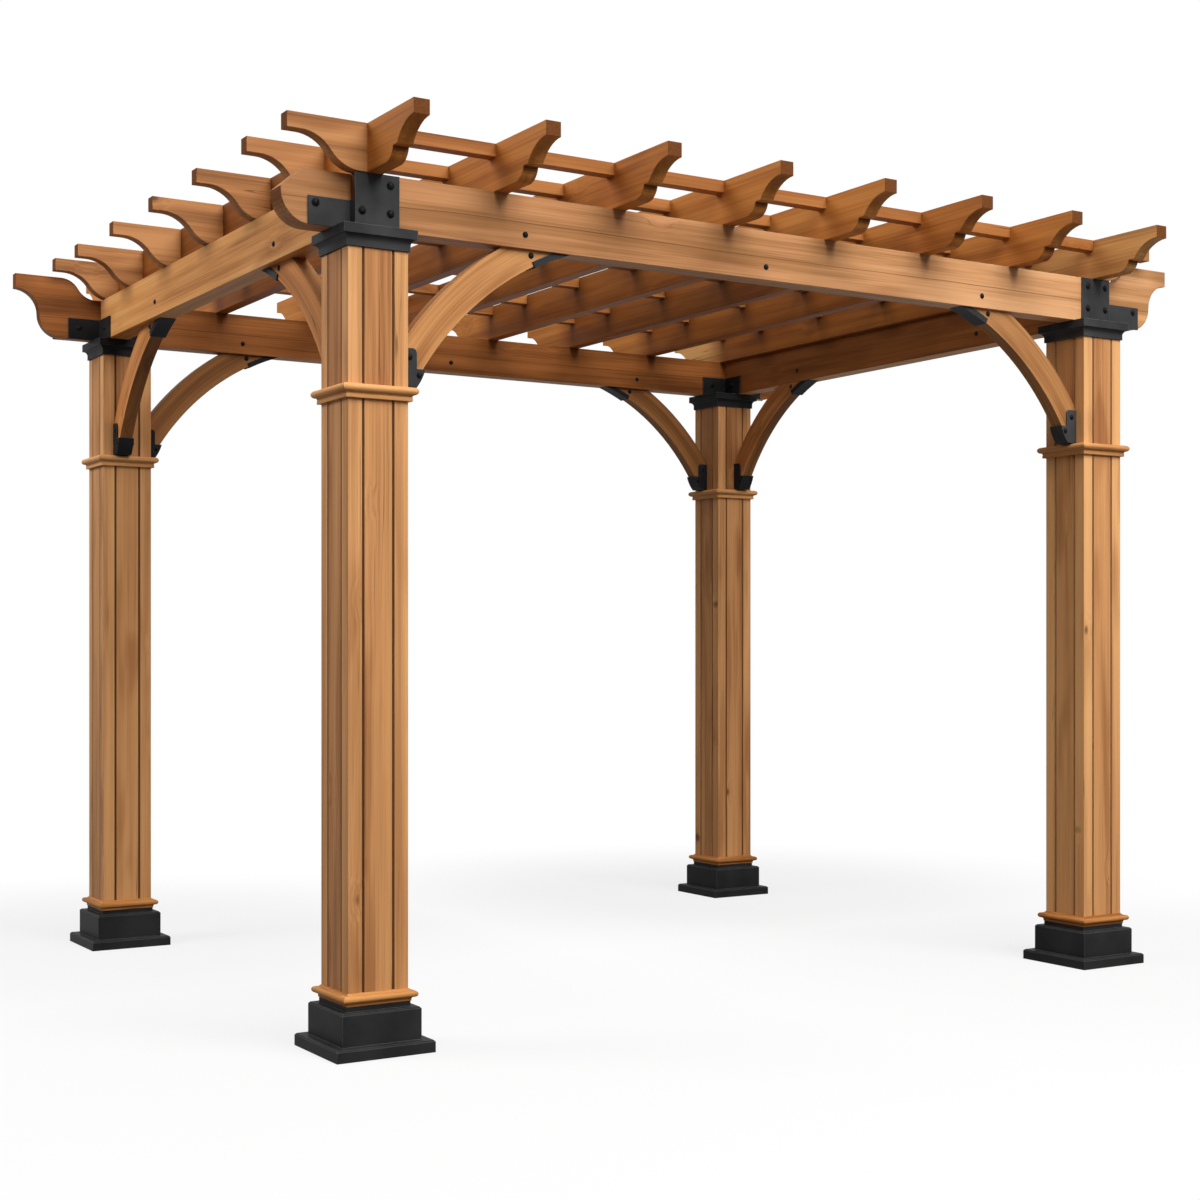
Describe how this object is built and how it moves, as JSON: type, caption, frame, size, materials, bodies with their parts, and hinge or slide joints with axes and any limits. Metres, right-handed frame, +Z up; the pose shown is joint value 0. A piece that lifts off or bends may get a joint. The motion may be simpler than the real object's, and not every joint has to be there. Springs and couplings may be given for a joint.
{
  "type": "pergola",
  "caption": "Open cedar pergola: grooved box posts on black steel bases, double beams with scrolled horns, carved rafters and purlins, arched knee braces and black steel corner plates.",
  "frame": {"origin": "centre of the footprint of the four posts, on the ground under the base plates", "axes": "+X along the front beam, +Y from the front to the back, +Z up"},
  "size_m": [3.65, 2.98, 2.602],
  "materials": {
    "cedar": "oiled",
    "black_steel": "matt powder coat"
  },
  "bodies": {
    "root": {"front_left_base": "black_steel", "front_left_post": "cedar", "front_left_mouldings": "cedar", "front_left_cap": "black_steel", "front_left_braces": "cedar", "front_left_brackets": "black_steel", "front_right_base": "black_steel", "front_right_post": "cedar", "front_right_mouldings": "cedar", "front_right_cap": "black_steel", "front_right_braces": "cedar", "front_right_brackets": "black_steel", "back_left_base": "black_steel", "back_left_post": "cedar", "back_left_mouldings": "cedar", "back_left_cap": "black_steel", "back_left_braces": "cedar", "back_left_brackets": "black_steel", "back_right_base": "black_steel", "back_right_post": "cedar", "back_right_mouldings": "cedar", "back_right_cap": "black_steel", "back_right_braces": "cedar", "back_right_brackets": "black_steel", "front_beam_outer_ply": "cedar", "front_beam_inner_ply": "cedar", "back_beam_outer_ply": "cedar", "back_beam_inner_ply": "cedar", "left_beam": "cedar", "right_beam": "cedar", "rafter_1": "cedar", "rafter_2": "cedar", "rafter_3": "cedar", "rafter_4": "cedar", "rafter_5": "cedar", "rafter_6": "cedar", "rafter_7": "cedar", "rafter_8": "cedar", "purlin_1": "cedar", "purlin_2": "cedar", "purlin_3": "cedar", "purlin_4": "cedar", "purlin_5": "cedar", "purlin_6": "cedar", "purlin_7": "cedar"}
  },
  "joints": []
}
